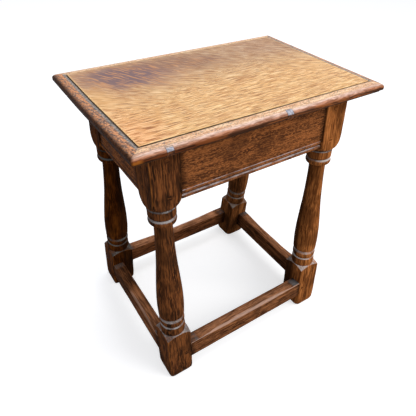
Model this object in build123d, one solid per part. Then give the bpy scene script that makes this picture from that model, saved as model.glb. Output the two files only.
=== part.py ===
"""Oak joint stool: four turned and splayed legs, mortised and pegged rails and stretchers,
and a solid moulded top screwed on from below.

Frame: +Z up, X along the length, front at -Y, origin on the floor under the middle of the top.
Sizes are in millimetres, angles in degrees. Each kind of piece is modelled once, at the front
left corner, and mirrored to its other places.
"""
import os
from math import cos, radians, sin, sqrt, tan

from build123d import *

# Whole stool
stool_height = 520.0
leg_splay = 5.5

# Top board, with a thumb moulding below a quirk on all four edges
top_length = 463.0
top_width = 301.5
top_thickness = 16.0
moulding_width = 16.6
quirk_width = 1.5
quirk_depth = 2.2
fillet_width = 4.4
fillet_drop = 1.0
thumb_step = 0.8
thumb_drop = 8.4
nose_radius = 4.0

# Repairs let into the front edge of the top: place along X, width, depth and height up from below
patches = (
    (-175.0, 9.8, 6.0, 3.0),
    (22.8, 11.0, 8.0, 3.0),
)

# Legs: square blocks with turning between them; the top stands out past them all round
leg_square = 49.6
end_overhang = 40.1
side_overhang = 35.9
arris_wear = 0.9
foot_wear = 3.0
turning_above_stretcher = 42.5
turning_below_rail = 11.4
lower_shoulder = 8.5
upper_shoulder = 25.0
upper_shoulder_swell = 12.5
neck_diameter = 30.4

# Turned rings, as height above their foot and depth in from the faces of the square
base_torus = ((0.0, 2.4), (9.0, 1.3), (18.2, 2.0))
base_quirk = ((18.2, 2.0), (20.6, 4.2), (22.2, 4.2), (23.8, 2.2))
base_ring = ((23.8, 2.2), (28.6, 1.3), (33.4, 1.9))
base_neck = ((33.4, 1.9), (38.0, 5.0), (39.6, 5.0), (41.5, 1.2))
cap_torus = ((0.6, 7.6), (7.0, 2.1), (11.6, 2.8))
cap_quirk = ((11.6, 2.8), (14.4, 5.0), (15.6, 5.0), (16.8, 2.8))
cap_collar = ((16.8, 2.8), (24.0, 2.7), (30.4, 2.3))
cap_neck = ((30.4, 2.3), (32.4, 4.3), (33.5, 4.3))

# Rails under the top
rail_depth = 98.1
rail_thickness = 20.0
rail_setback = 1.8
bead_width = 7.4
bead_relief = 2.2
bead_quirk = 1.2
hollow_width = 4.5

# Stretchers near the floor
stretcher_bottom = 34.0
stretcher_depth = 38.0
stretcher_thickness = 23.5
stretcher_setback = 0.3
stretcher_wear = 6.5
stretcher_arris = 0.8

# Mortise and tenon joints
tenon_thickness = 8.0
tenon_length = 30.0
tenon_cheek = 7.6
rail_tenon_foot = 3.5
rail_haunch = 11.0
stretcher_tenon_foot = 5.0
tenon_fit = 0.15
mortise_room = 2.5

# Pegs through the joints
peg_diameter = 8.4
peg_length = 26.0
peg_taper = 6.0
peg_proud = 0.3
peg_fit = 0.05
rail_peg_offset = 3.5
stretcher_peg_offset = 12.5
front_peg_rises = (10.5, 70.0)
side_peg_rises = (23.5, 57.0)

# Screws in slanted pockets, which hold the top
screw_diameter = 4.2
screw_head_diameter = 7.6
screw_head_height = 3.0
screw_seat = 22.0
screw_bite = 10.0
screw_fit = 0.2
pocket_diameter = 9.5
pocket_angle = 15.0
pocket_inset = 8.0
front_screw_centres = 190.0

# Sizes that follow from those above
half_leg = leg_square / 2
splay = radians(leg_splay)
underside = stool_height - top_thickness
rail_bottom = underside - rail_depth
stretcher_top = stretcher_bottom + stretcher_depth
leg_x = top_length / 2 - end_overhang - half_leg
foot_y = top_width / 2 - side_overhang - half_leg / cos(splay) + underside * tan(splay)
block_corner = half_leg * sqrt(2) + 1
shoulder_x = leg_x - half_leg
beyond = 2 * stool_height

# The plane that holds the axes of both front legs, with local Z along them
front_plane = Pos(0, -foot_y, 0) * Rot(X=-leg_splay)
left_leg = front_plane * Pos(-leg_x, 0, 0)
LOW = (Align.CENTER, Align.CENTER, Align.MIN)


def up_leg(level, depth=-half_leg):
    """Height along the leg's axis at which a line at this depth in front of it has this level."""
    return (level + depth * sin(splay)) / cos(splay)


def turned(foot, ring):
    """Points of a turned ring in the plane of the leg's axis, from the height of its foot."""
    return [(half_leg - cut, foot + rise) for rise, cut in ring]


def leg_turning():
    """Solid of revolution that the square leg is turned to, on the leg's own axis."""
    low = up_leg(stretcher_top) + turning_above_stretcher
    high = up_leg(rail_bottom) - turning_below_rail
    base = turned(low, base_neck)[-1]
    neck = high - cap_neck[-1][0]
    baluster = neck - base[1]
    thin = neck_diameter / 2
    toe = turned(low, base_torus)[0]
    knee = (block_corner, low - lower_shoulder)
    collar = turned(neck, cap_neck)[-1]
    crown = (collar[0] + upper_shoulder_swell, high + upper_shoulder)
    outline = [
        Polyline((0, -beyond), (block_corner, -beyond), knee),
        # slightly rounded shoulder of the lower block
        ThreePointArc(knee, ((knee[0] + toe[0]) / 2, low - 0.35 * lower_shoulder), toe),
        # torus, quirk, ring and quirk
        ThreePointArc(*turned(low, base_torus)),
        Polyline(*turned(low, base_quirk)),
        ThreePointArc(*turned(low, base_ring)),
        Polyline(*turned(low, base_neck)),
        # baluster, full low down and drawn in to the neck
        Spline(
            base,
            (half_leg - 0.4, base[1] + 0.12 * baluster),
            (half_leg - 1.1, base[1] + 0.25 * baluster),
            (thin + 5.8, base[1] + 0.43 * baluster),
            (thin + 2.7, base[1] + 0.61 * baluster),
            (thin + 0.8, base[1] + 0.80 * baluster),
            (thin, neck),
            tangents=((0.2, 1), (0, 1)),
        ),
        # torus, quirk and collar
        Line((thin, neck), turned(neck, cap_torus)[0]),
        ThreePointArc(*turned(neck, cap_torus)),
        Polyline(*turned(neck, cap_quirk)),
        ThreePointArc(*turned(neck, cap_collar)),
        Polyline(*turned(neck, cap_neck)),
        # quarter-round shoulder of the upper block
        EllipticalCenterArc(
            (collar[0], crown[1]), upper_shoulder_swell, upper_shoulder, start_angle=-90, arc_size=90
        ),
        Polyline(crown, (block_corner, crown[1] + 1), (block_corner, beyond), (0, beyond), (0, -beyond)),
    ]
    return revolve(Plane.XZ * make_face(Curve() + outline), Axis.Z)


def half_space_front(depth):
    """All that lies before the plane this far inside the front legs' inner face."""
    block = Box(4 * beyond, beyond, 4 * beyond, align=(Align.CENTER, Align.MAX, Align.CENTER))
    return front_plane * Pos(0, half_leg - depth, 0) * block


def slab():
    """The space between the floor and the underside of the top."""
    return Box(2 * beyond, 2 * beyond, underside, align=LOW)


def front_tenon(bottom, height, fit=0.0, room=0.0):
    """Tenon of a front rail or stretcher in the left leg; with a fit and room, its mortise."""
    box = Box(tenon_length + room, tenon_thickness + 2 * fit, height + 2 * fit, align=Align.MIN)
    corner = (-shoulder_x - tenon_length - room, tenon_cheek - half_leg - fit, up_leg(bottom) - fit)
    return front_plane * Pos(*corner) * box


def side_tenon(bottom, height, fit=0.0, room=0.0):
    """Tenon of a left rail or stretcher in the front leg; with a fit and room, its mortise."""
    box = Box(tenon_thickness + 2 * fit, foot_y, height + 2 * fit, align=Align.MIN)
    bar = Pos(tenon_cheek - half_leg - leg_x - fit, -foot_y, bottom - fit) * box
    return (bar & half_space_front(0)) - half_space_front(tenon_length + room)


rail_tenon = (rail_bottom + rail_tenon_foot, rail_depth - rail_tenon_foot - rail_haunch)
stretcher_tenon = (stretcher_bottom + stretcher_tenon_foot, stretcher_depth - 2 * stretcher_tenon_foot)


def peg():
    """Riven peg along +Y with a tapered tip, its head just proud of the leg's face."""
    straight = peg_length - peg_taper + peg_proud
    shank = Cylinder(peg_diameter / 2, straight, align=LOW)
    tip = Pos(0, 0, straight) * Cone(peg_diameter / 2, peg_diameter / 3, peg_taper, align=LOW)
    return Pos(0, -peg_proud, 0) * Rot(X=-90) * (shank + tip)


def peg_hole():
    """Hole for a peg, open through the leg's face."""
    return Pos(0, -1, 0) * Rot(X=-90) * Cylinder(peg_diameter / 2 + peg_fit, peg_length + 2, align=LOW)


def through_front(pin, offset, levels):
    """Copies of a pin let in from the front of the left leg, beside its axis towards the rail."""
    return [left_leg * Pos(offset, -half_leg, up_leg(level)) * pin for level in levels]


def through_side(pin, offset, levels):
    """Copies of a pin let in from the outer side of the left leg, behind its axis."""
    return [left_leg * Pos(-half_leg, offset, up_leg(level)) * Rot(Z=-90) * pin for level in levels]


def at_rail_joints(pin):
    """A pin at each peg of the two rail joints; those from the side miss those from the front."""
    front = through_front(pin, rail_peg_offset, [rail_bottom + rise for rise in front_peg_rises])
    return front + through_side(pin, rail_peg_offset, [rail_bottom + rise for rise in side_peg_rises])


def at_stretcher_joints(pin):
    """A pin at each peg of the two stretcher joints, half way up the stretchers."""
    middle = [stretcher_bottom + stretcher_depth / 2]
    front = through_front(pin, stretcher_peg_offset, middle)
    return front + through_side(pin, stretcher_peg_offset, middle)


peg_holes = at_rail_joints(peg_hole()) + at_stretcher_joints(peg_hole())


def worn_foot():
    """Flared space that eases the edges of the foot where they meet the floor."""
    sole = Rectangle(leg_square - 4 * foot_wear, leg_square / cos(splay) - 4 * foot_wear)
    return Pos(-leg_x, -foot_y, -foot_wear) * extrude(sole, amount=stool_height, taper=-45)


def make_leg():
    """Front left leg, with the mortises and peg holes of its four joints."""
    stick = Box(leg_square, leg_square, 2 * beyond)
    stick = chamfer(stick.edges().filter_by(Axis.Z), arris_wear)
    leg = (left_leg * (stick & leg_turning())) & slab() & worn_foot()
    for bottom, height in (rail_tenon, stretcher_tenon):
        leg -= front_tenon(bottom, height, tenon_fit, mortise_room)
        leg -= side_tenon(bottom, height, tenon_fit, mortise_room)
    for hole in peg_holes:
        leg -= hole
    return leg


def pocket_screw():
    """Countersunk screw along +Z; the joint between rail and top is at zero."""
    shank = Cylinder(screw_diameter / 2, screw_seat + screw_bite, align=LOW)
    head = Cone(screw_head_diameter / 2, screw_diameter / 2, screw_head_height, align=LOW)
    return Pos(0, 0, -screw_seat) * (shank + head)


def screw_pocket():
    """Clearance for the screw's shank, and the bore that takes its head into the rail."""
    shank = Cylinder(screw_diameter / 2 + screw_fit, screw_seat + screw_bite, align=LOW)
    seat = Cone(pocket_diameter / 2, screw_diameter / 2 + screw_fit, screw_head_height, align=LOW)
    bore = Cylinder(pocket_diameter / 2, screw_seat, align=LOW)
    return Pos(0, 0, -screw_seat) * (shank + seat + Pos(0, 0, -screw_seat) * bore)


front_face_y = -foot_y + underside * tan(splay) - (half_leg - rail_setback) / cos(splay)
side_face_x = -leg_x - half_leg + rail_setback
front_screws = [
    Pos(x, front_face_y + pocket_inset, underside) * Rot(X=pocket_angle)
    for x in (-front_screw_centres / 2, front_screw_centres / 2)
]
side_screws = [Pos(side_face_x + pocket_inset, 0, underside) * Rot(Z=-90) * Rot(X=pocket_angle)]


def rail_section():
    """Rail from the side: depth behind its face against height, two beads and a hollow at the foot."""
    quirk = bead_width - bead_quirk
    top_bead = 2 * bead_width
    face = top_bead + hollow_width
    half_relief = bead_relief / 2
    outline = [
        ThreePointArc((half_relief, 0), (0, bead_width / 2), (half_relief, quirk)),
        Polyline((half_relief, quirk), (bead_relief, quirk + 0.3), (bead_relief, bead_width)),
        ThreePointArc((bead_relief, bead_width), (0, 1.55 * bead_width), (half_relief, top_bead)),
        ThreePointArc((half_relief, top_bead), (0.4 * bead_relief, top_bead + hollow_width / 2), (0, face)),
        Polyline((0, face), (0, 2 * rail_depth), (rail_thickness, 2 * rail_depth), (rail_thickness, 0)),
        Line((rail_thickness, 0), (half_relief, 0)),
    ]
    return make_face(Curve() + outline)


def stretcher_section():
    """Stretcher from the side, its outer top arris worn away by feet and the others eased."""
    section = Rectangle(stretcher_thickness, stretcher_depth, align=Align.MIN)
    corners = section.vertices().sort_by(Axis.X)
    worn = corners[:2].sort_by(Axis.Y)[-1]
    section = fillet(worn, stretcher_wear)
    inner = section.vertices().sort_by(Axis.X)[-2:]
    return chamfer(inner, stretcher_arris)


def front_bar(section, setback, bottom, tenon):
    """Front rail or stretcher, in the plane of the front legs, between and into them."""
    face = Plane((-shoulder_x, setback - half_leg, up_leg(bottom)), x_dir=(0, 1, 0), z_dir=(1, 0, 0))
    bar = front_plane * extrude(face * section, amount=2 * shoulder_x)
    joint = front_tenon(*tenon)
    for hole in peg_holes:
        joint -= hole
    return (bar + joint + mirror(joint, about=Plane.YZ)) & slab()


def side_bar(section, setback, bottom, tenon):
    """Left rail or stretcher, upright, its shoulders cut to the splay of the legs."""
    face = Plane((-leg_x - half_leg + setback, -foot_y, bottom), x_dir=(1, 0, 0), z_dir=(0, -1, 0))
    bar = extrude(face * section, amount=-2 * foot_y) & slab()
    joint = side_tenon(*tenon)
    for hole in peg_holes:
        joint -= hole
    bar -= half_space_front(0)
    bar -= mirror(half_space_front(0), about=Plane.XZ)
    return bar + joint + mirror(joint, about=Plane.XZ)


def make_rail(bar, screws):
    """A rail with the pockets of its screws."""
    for place in screws:
        bar -= place * screw_pocket()
    return bar


def edge_section(size):
    """The top board from the side, the same thumb moulding on both edges; quirk not yet cut."""
    edge = size / 2
    field = edge - moulding_width
    thumb = field + quirk_width + fillet_width
    crown = fillet_drop + thumb_step
    outline = [
        Polyline((0, 0), (field, 0), (field, -fillet_drop), (thumb, -fillet_drop), (thumb, -crown)),
        EllipticalCenterArc((thumb, -thumb_drop), edge - thumb, thumb_drop - crown, arc_size=90),
        Line((edge, -thumb_drop), (edge, nose_radius - top_thickness)),
        CenterArc((edge - nose_radius, nose_radius - top_thickness), nose_radius, -90, 90),
        Polyline((edge - nose_radius, -top_thickness), (0, -top_thickness), (0, 0)),
    ]
    half = make_face(Curve() + outline)
    return half + mirror(half, about=Plane.YZ)


def make_top(screws):
    """Top board with the holes of its screws, and the patches let into its front edge."""
    end = Plane((-top_length, 0, stool_height), x_dir=(0, 1, 0), z_dir=(1, 0, 0))
    side = Plane((0, top_width, stool_height), x_dir=(1, 0, 0), z_dir=(0, -1, 0))
    across = extrude(end * edge_section(top_width), amount=2 * top_length)
    along = extrude(side * edge_section(top_length), amount=2 * top_width)
    board = across & along
    field = Rectangle(top_length - 2 * moulding_width, top_width - 2 * moulding_width)
    around = offset(field, quirk_width, kind=Kind.INTERSECTION)
    board -= Pos(0, 0, stool_height - quirk_depth) * extrude(around - field, amount=2 * quirk_depth)
    for screw in screws:
        board -= screw
    pieces = []
    for x, width, depth, rise in patches:
        block = Box(width, depth + 1, top_thickness, align=(Align.CENTER, Align.MIN, Align.MIN))
        block = Pos(x, -top_width / 2 - 1, underside + rise) * block
        pieces.append(board & block)
        board -= block
    return board, pieces


def both(items, plane):
    """Items and their mirror images in a plane."""
    return list(items) + [mirror(item, about=plane) for item in items]


def at_corners(items):
    """Items of the front left corner and their mirror images at all four, by corner."""
    right = [mirror(item, about=Plane.YZ) for item in items]
    return {
        "front_left": items,
        "front_right": right,
        "back_left": [mirror(item, about=Plane.XZ) for item in items],
        "back_right": [mirror(item, about=Plane.XZ) for item in right],
    }


rail = (rail_section(), rail_setback, rail_bottom, rail_tenon)
stretcher = (stretcher_section(), stretcher_setback, stretcher_bottom, stretcher_tenon)
rail_front, rail_back = both([make_rail(front_bar(*rail), front_screws)], Plane.XZ)
rail_left, rail_right = both([make_rail(side_bar(*rail), side_screws)], Plane.YZ)
stretcher_front, stretcher_back = both([front_bar(*stretcher)], Plane.XZ)
stretcher_left, stretcher_right = both([side_bar(*stretcher)], Plane.YZ)
top_screws = both([place * pocket_screw() for place in front_screws], Plane.XZ)
top_screws += both([place * pocket_screw() for place in side_screws], Plane.YZ)
top_board, edge_patches = make_top(top_screws)

nodes = {
    "top_board": [top_board],
    "edge_patches": edge_patches,
    "top_screws": top_screws,
    "rail_front": [rail_front],
    "rail_back": [rail_back],
    "rail_left": [rail_left],
    "rail_right": [rail_right],
    "stretcher_front": [stretcher_front],
    "stretcher_back": [stretcher_back],
    "stretcher_left": [stretcher_left],
    "stretcher_right": [stretcher_right],
}
corner_pieces = {
    "leg": [make_leg()],
    "rail_pegs": at_rail_joints(peg()),
    "stretcher_pegs": at_stretcher_joints(peg()),
}
for kind, items in corner_pieces.items():
    for corner, copies in at_corners(items).items():
        nodes[f"{kind}_{corner}"] = copies

os.makedirs("parts", exist_ok=True)
for name, pieces in nodes.items():
    solids = [solid for piece in pieces for solid in piece.solids()]
    export_step(Compound(solids), f"parts/{name}.step")
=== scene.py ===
import itertools
import math

import bmesh
import bpy
import numpy as np
from mathutils import Matrix, Vector


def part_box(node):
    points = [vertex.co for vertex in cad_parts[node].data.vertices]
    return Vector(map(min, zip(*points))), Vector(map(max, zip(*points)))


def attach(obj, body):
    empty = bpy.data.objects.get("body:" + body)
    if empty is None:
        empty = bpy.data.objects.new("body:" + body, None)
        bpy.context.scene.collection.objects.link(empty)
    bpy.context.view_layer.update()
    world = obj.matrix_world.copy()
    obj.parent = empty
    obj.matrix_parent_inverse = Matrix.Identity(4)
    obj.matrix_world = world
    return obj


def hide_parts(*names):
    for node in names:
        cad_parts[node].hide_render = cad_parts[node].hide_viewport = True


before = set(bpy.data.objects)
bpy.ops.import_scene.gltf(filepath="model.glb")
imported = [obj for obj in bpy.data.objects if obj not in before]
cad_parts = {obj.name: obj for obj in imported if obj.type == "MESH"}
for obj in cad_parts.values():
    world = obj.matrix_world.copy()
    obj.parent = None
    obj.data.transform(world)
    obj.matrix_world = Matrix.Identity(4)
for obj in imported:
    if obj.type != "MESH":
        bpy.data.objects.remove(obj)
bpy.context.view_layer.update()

MM = 0.001
top_low, top_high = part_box("top_board")
HEIGHT = top_high.z
UNDERSIDE = top_low.z
TOP_HALF = (top_high.x, top_high.y)

# Frame sizes that the worn pieces repeat from the CAD model
SPLAY = math.radians(5.5)
UPRIGHT, LEAN = math.cos(SPLAY), math.sin(SPLAY)
HALF_LEG = 24.8 * MM
SIDE_OVERHANG = 35.9 * MM
TOP_THICK = 16.0 * MM
leg_low, leg_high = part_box("leg_front_left")
LEG_X = -(leg_low.x + leg_high.x) / 2
FOOT_Y = TOP_HALF[1] - SIDE_OVERHANG - HALF_LEG / UPRIGHT + UNDERSIDE * math.tan(SPLAY)
SHOULDER_X = LEG_X - HALF_LEG
RAIL_DEPTH = 98.1 * MM
RAIL_THICK = 20.0 * MM
RAIL_SETBACK = 1.8 * MM
RAIL_BOTTOM = UNDERSIDE - RAIL_DEPTH
RAIL_TENON_FOOT = 3.5 * MM
RAIL_HAUNCH = 11.0 * MM
STRETCHER_BOTTOM = 34.0 * MM
STRETCHER_DEPTH = 38.0 * MM
STRETCHER_THICK = 23.5 * MM
STRETCHER_SETBACK = 0.3 * MM
STRETCHER_TENON_FOOT = 5.0 * MM
TENON_LENGTH = 30.0 * MM
TENON_THICK = 8.0 * MM
TENON_CHEEK = 7.6 * MM

# Turning of a leg in millimetres: each ring is height above its foot and depth in from the square.
# The base is the CAD model's; the cap and the shoulder above it are a little fuller.
TURNING_ABOVE_STRETCHER = 42.5
TURNING_BELOW_RAIL = 11.4
BASE_TORUS = ((0.0, 2.4), (9.0, 1.3), (18.2, 2.0))
BASE_QUIRK = ((18.2, 2.0), (20.6, 4.2), (22.2, 4.2), (23.8, 2.2))
BASE_RING = ((23.8, 2.2), (28.6, 1.3), (33.4, 1.9))
BASE_NECK = ((33.4, 1.9), (38.0, 5.0), (39.6, 5.0), (41.5, 1.2))
CAP_TORUS = ((0.6, 7.6), (7.0, 1.7), (11.6, 2.4))
CAP_QUIRK = ((11.6, 2.4), (14.2, 4.8), (15.4, 4.8), (16.8, 2.0))
CAP_COLLAR = ((16.8, 2.0), (24.0, 1.9), (30.0, 1.5))
CAP_NECK = ((30.0, 1.5), (32.0, 4.2), (33.5, 4.4))
NECK_RADIUS = 15.2
LOWER_SHOULDER = 8.5
UPPER_SHOULDER = 25.0
SHOULDER_RISE = 24.0
SHOULDER_SWELL = 13.6
SHOULDER_POWER = 0.78


# ---- numbers and noise

def value_noise(points, seed):
    """Smooth random values in -1..1 at points of shape (..., 3), one cell per unit."""
    cell = np.floor(points).astype(np.int64)
    part = points - cell
    part = part * part * (3 - 2 * part)
    total = np.zeros(points.shape[:-1])
    for corner in itertools.product((0, 1), repeat=3):
        x, y, z = np.moveaxis((cell + corner) * (73856093, 19349663, 83492791), -1, 0)
        h = x ^ y ^ z ^ (seed * 26544357)
        h = ((h ^ (h >> 13)) * 1274126177) & 0x7FFFFFFF
        h = ((h ^ (h >> 15)) * 668265263) & 0x7FFFFFFF
        weight = np.prod(np.where(corner, part, 1 - part), axis=-1)
        total += weight * (h / 0x3FFFFFFF - 1)
    return total


def rough(points, cell, seed, octaves=2):
    """Noise over points in metres with this cell size, with finer octaves."""
    total = np.zeros(points.shape[:-1])
    for i in range(octaves):
        total += value_noise(points / cell * 2**i, seed + 17 * i) / 2**i
    return total


def smooth_min(a, b, k):
    """The lesser of a and b, blended where they are within k of each other."""
    h = np.clip(k - np.abs(a - b), 0, None) / k
    return np.minimum(a, b) - h * h * k / 4


def smooth_step(x, low, high):
    t = np.clip((x - low) / (high - low), 0, 1)
    return t * t * (3 - 2 * t)


def arc(start, middle, end, count):
    """Points along the circle through three points, without the last one."""
    a, b, c = (complex(*point) for point in (start, middle, end))
    ratio = (c - a) / (b - a)
    centre = a + (b - a) * (ratio - abs(ratio) ** 2) / (2j * ratio.imag)
    first, turn = (np.angle((point - centre) / (a - centre)) % math.tau for point in (b, c))
    if first > turn:
        turn -= math.tau
    points = centre + (a - centre) * np.exp(1j * turn * np.arange(count) / count)
    return list(zip(points.real, points.imag))


def ellipse(centre, width, height, start, turn, count, power=1.0):
    """Points along part of an ellipse's upper half, in degrees; a power below 1 makes it fuller."""
    x, y = centre
    angles = np.radians(start + turn * np.arange(count) / count)
    return [(x + width * math.cos(t), y + height * math.sin(t) ** power) for t in angles]


def running_mean(values, reach, **padding):
    """Values averaged over a bell that reaches this many steps to each side."""
    bell = np.hanning(2 * reach + 1)
    return np.convolve(np.pad(values, reach, **padding), bell / bell.sum(), mode="valid")


# ---- meshes

def place_in_scene(name, data):
    """A new object with this data, linked to the scene."""
    thing = bpy.data.objects.new(name, data)
    bpy.context.scene.collection.objects.link(thing)
    return thing


def skin(rings):
    """Vertices and faces of a closed skin over rings of points, shape (rings, points, 3)."""
    count, around = rings.shape[:2]
    index = np.arange(count * around).reshape(count, around)
    a, b = index[:-1], np.roll(index[:-1], -1, axis=1)
    c, d = np.roll(index[1:], -1, axis=1), index[1:]
    faces = np.stack([a, b, c, d], axis=-1).reshape(-1, 4).tolist()
    faces.append(index[0][::-1].tolist())
    faces.append(index[-1].tolist())
    return rings.reshape(-1, 3), faces


def make_piece(name, parts, attributes, material, node, sharp=40):
    """Joins closed skins into one piece that stands for a CAD node; only the first has attributes."""
    points, faces, start = [], [], 0
    for verts, polys in parts:
        points.append(verts)
        faces += [[v + start for v in poly] for poly in polys]
        start += len(verts)
    mesh = bpy.data.meshes.new(name)
    mesh.from_pydata(np.concatenate(points).tolist(), [], faces)
    for key, values in attributes.items():
        values = values.reshape(-1, *values.shape[2:])
        rest = np.zeros((start - len(values), *values.shape[1:]))
        kind, field = ("FLOAT_VECTOR", "vector") if values.ndim > 1 else ("FLOAT", "value")
        layer = mesh.attributes.new(key, kind, "POINT")
        layer.data.foreach_set(field, np.concatenate([values, rest]).astype(np.float32).ravel())
    turn_outwards(mesh)
    mesh.shade_smooth()
    mesh.set_sharp_from_angle(angle=math.radians(sharp))
    mesh.materials.append(material)
    piece = place_in_scene(name, mesh)
    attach(piece, "root")
    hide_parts(node)
    return piece


def turn_outwards(mesh):
    """Makes every face look out of its closed skin."""
    work = bmesh.new()
    work.from_mesh(mesh)
    bmesh.ops.recalc_face_normals(work, faces=work.faces)
    work.to_mesh(mesh)
    work.free()


# ---- legs

def baluster(foot, length):
    """The swelling between base and neck, as (height, radius) in millimetres, drawn in to the neck."""
    full, thin = HALF_LEG / MM, NECK_RADIUS
    stations = (0, 0.12, 0.25, 0.43, 0.61, 0.8, 1)
    radii = (full - BASE_NECK[-1][1], full - 0.4, full - 1.1, thin + 5.8, thin + 2.7, thin + 0.8, thin)
    slopes = np.gradient(radii, stations)
    slopes[-1] = 0
    points = []
    for i in range(len(stations) - 1):
        width = stations[i + 1] - stations[i]
        for t in np.linspace(0, 1, 8, endpoint=False):
            # cubic through both stations with their slopes
            radius = (
                radii[i] * (1 + 2 * t) * (1 - t) ** 2
                + radii[i + 1] * t * t * (3 - 2 * t)
                + width * (slopes[i] * t * (1 - t) ** 2 - slopes[i + 1] * t * t * (1 - t))
            )
            points.append((foot + (stations[i] + t * width) * length, radius))
    return points[1:] + [(foot + length, thin)]


def leg_outline():
    """Turning of a leg as (height along its axis, radius) in metres, its edges softened by wear."""
    full = HALF_LEG / MM
    low = up_leg(STRETCHER_BOTTOM + STRETCHER_DEPTH) / MM + TURNING_ABOVE_STRETCHER
    high = up_leg(RAIL_BOTTOM) / MM - TURNING_BELOW_RAIL
    base, neck = low + BASE_NECK[-1][0], high - CAP_NECK[-1][0]
    corner = full * math.sqrt(2) + 1

    def turned(foot, ring):
        return [(foot + rise, full - cut) for rise, cut in ring]

    knee, toe = (low - LOWER_SHOULDER, corner), turned(low, BASE_TORUS)[0]
    points = arc(knee, (low - 0.35 * LOWER_SHOULDER, (corner + toe[1]) / 2), toe, 10)
    points += arc(*turned(low, BASE_TORUS), 14) + turned(low, BASE_QUIRK)
    points += arc(*turned(low, BASE_RING), 10)[1:] + turned(low, BASE_NECK)
    points += baluster(base, neck - base)
    points += arc(*turned(neck, CAP_TORUS), 14) + turned(neck, CAP_QUIRK)
    points += arc(*turned(neck, CAP_COLLAR), 9)[1:] + turned(neck, CAP_NECK)
    seat = (high + UPPER_SHOULDER, full - CAP_NECK[-1][1])
    points += ellipse(seat, SHOULDER_RISE, SHOULDER_SWELL, 180, -90, 22, SHOULDER_POWER)[1:]
    heights, radii = np.array(points).T
    even = np.arange(heights[0], heights[-1], 0.2)
    profile = running_mean(np.interp(even, heights, radii), 4, mode="reflect", reflect_type="odd")
    # fewer points along the baluster and the upper shoulder
    plain = (even > base + 4) & (even < neck - 3) | (even > high + 4)
    kept = np.arange(len(even)) % np.where(plain, 20, 3) == 0
    return np.column_stack([even, profile])[kept] * MM


def leg_stations(outline):
    """Heights of the rings of points up a leg: those of its turning, and even steps in the blocks."""
    low, high = outline[0, 0], outline[-1, 0]
    top = UNDERSIDE / UPRIGHT
    worn_foot = np.array([0, 0.3, 0.8, 1.5, 2.4, 3.6, 5, 7, 9]) * MM
    foot = np.arange(12 * MM, low, 5 * MM)
    head = np.arange(high + 4 * MM, top - 4 * MM, 5 * MM)
    return np.concatenate([worn_foot, foot, outline[:, 0], head, [top]])


def around_leg():
    """Angles round a leg, closer together near the four arrises."""
    near = np.array([0, 0.7, 1.4, 2.1, 3, 4.2, 6, 8, 10.5, 13, 16, 19, 22, 25.5, 29, 33, 37, 41, 45])
    octant = np.concatenate([-near[::-1], near[1:-1]])
    return np.radians(np.concatenate([45 + octant + 90 * i for i in range(4)]))


def leaning(x, y, s):
    """Points of the front left corner in the stool's frame, from the leg's own: s is up its axis."""
    deep = y * UPRIGHT + s * LEAN - FOOT_Y
    return np.stack([x - LEG_X, deep, s * UPRIGHT - y * LEAN], axis=-1)


def up_leg(level, depth=-HALF_LEG):
    """Height along a leg of a level, this far behind its axis; in its front face by default."""
    return (level + depth * LEAN) / UPRIGHT


def mirrored(points, name):
    """Points made for the front left, moved to the place that a node's name gives."""
    points = points.copy()
    points[..., 0] *= -1 if "right" in name else 1
    points[..., 1] *= -1 if "back" in name else 1
    return points


def swell(heights, values, width):
    """How far a profile stands out from its own running mean, in millimetres."""
    even = np.arange(heights[0], heights[-1], 0.5 * MM)
    profile = np.interp(even, heights, values)
    mean = running_mean(profile, round(width / MM), mode="edge")
    return np.interp(heights, even, (profile - mean) / MM)


# Mean radius of a leg, for its noise, and one that lies beyond the corners of its square
MEAN_RADIUS = 23 * MM
BEYOND = 40 * MM


def leg_radius(outline, s, a, seed):
    """Radius of a worn leg, of its square and of its turning, and how far the square's faces lie apart."""
    spot = np.stack([s, MEAN_RADIUS * np.cos(a), MEAN_RADIUS * np.sin(a)], axis=-1)
    in_block = (s < outline[0, 0]) | (s > outline[-1, 0])
    turned = np.where(in_block, BEYOND, np.interp(s, outline[:, 0], outline[:, 1]))
    turned -= 0.1 * MM * (1 + rough(spot, 0.03, seed))
    flat_x = HALF_LEG / np.clip(np.abs(np.cos(a)), 0.05, 1)
    flat_y = HALF_LEG / np.clip(np.abs(np.sin(a)), 0.05, 1)
    ease = (3.2 + 2.4 * rough(spot, 0.025, seed + 5) + 3.5 * smooth_step(s, 0.03, 0)) * MM
    square = smooth_min(flat_x, flat_y, np.clip(ease, 1.2 * MM, None))
    square -= 0.12 * MM * (1 + rough(spot, 0.05, seed + 9))
    r = smooth_min(square, turned, 1.0 * MM)
    dents = smooth_step(rough(spot, 0.009, seed + 3, 1), 0.45, 0.95)
    on_ring = smooth_step(turned, HALF_LEG - 3 * MM, HALF_LEG - 1.5 * MM) * (turned < 30 * MM)
    r -= 0.6 * MM * dents * on_ring
    # the foot is worn round, most of all at its corners
    apart = np.abs(flat_x - flat_y)
    corner = np.clip(1 - apart / (16 * MM), 0, 1)
    uneven = 1 + 0.4 * rough(spot, 0.014, seed + 7)
    foot = np.clip(1 - s / ((2.6 + 5.5 * corner) * MM * uneven), 0, 1)
    r -= (1.8 + 3.4 * corner) * MM * uneven * (1 - np.sqrt(1 - foot**2))
    return r, square, turned, apart


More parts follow.
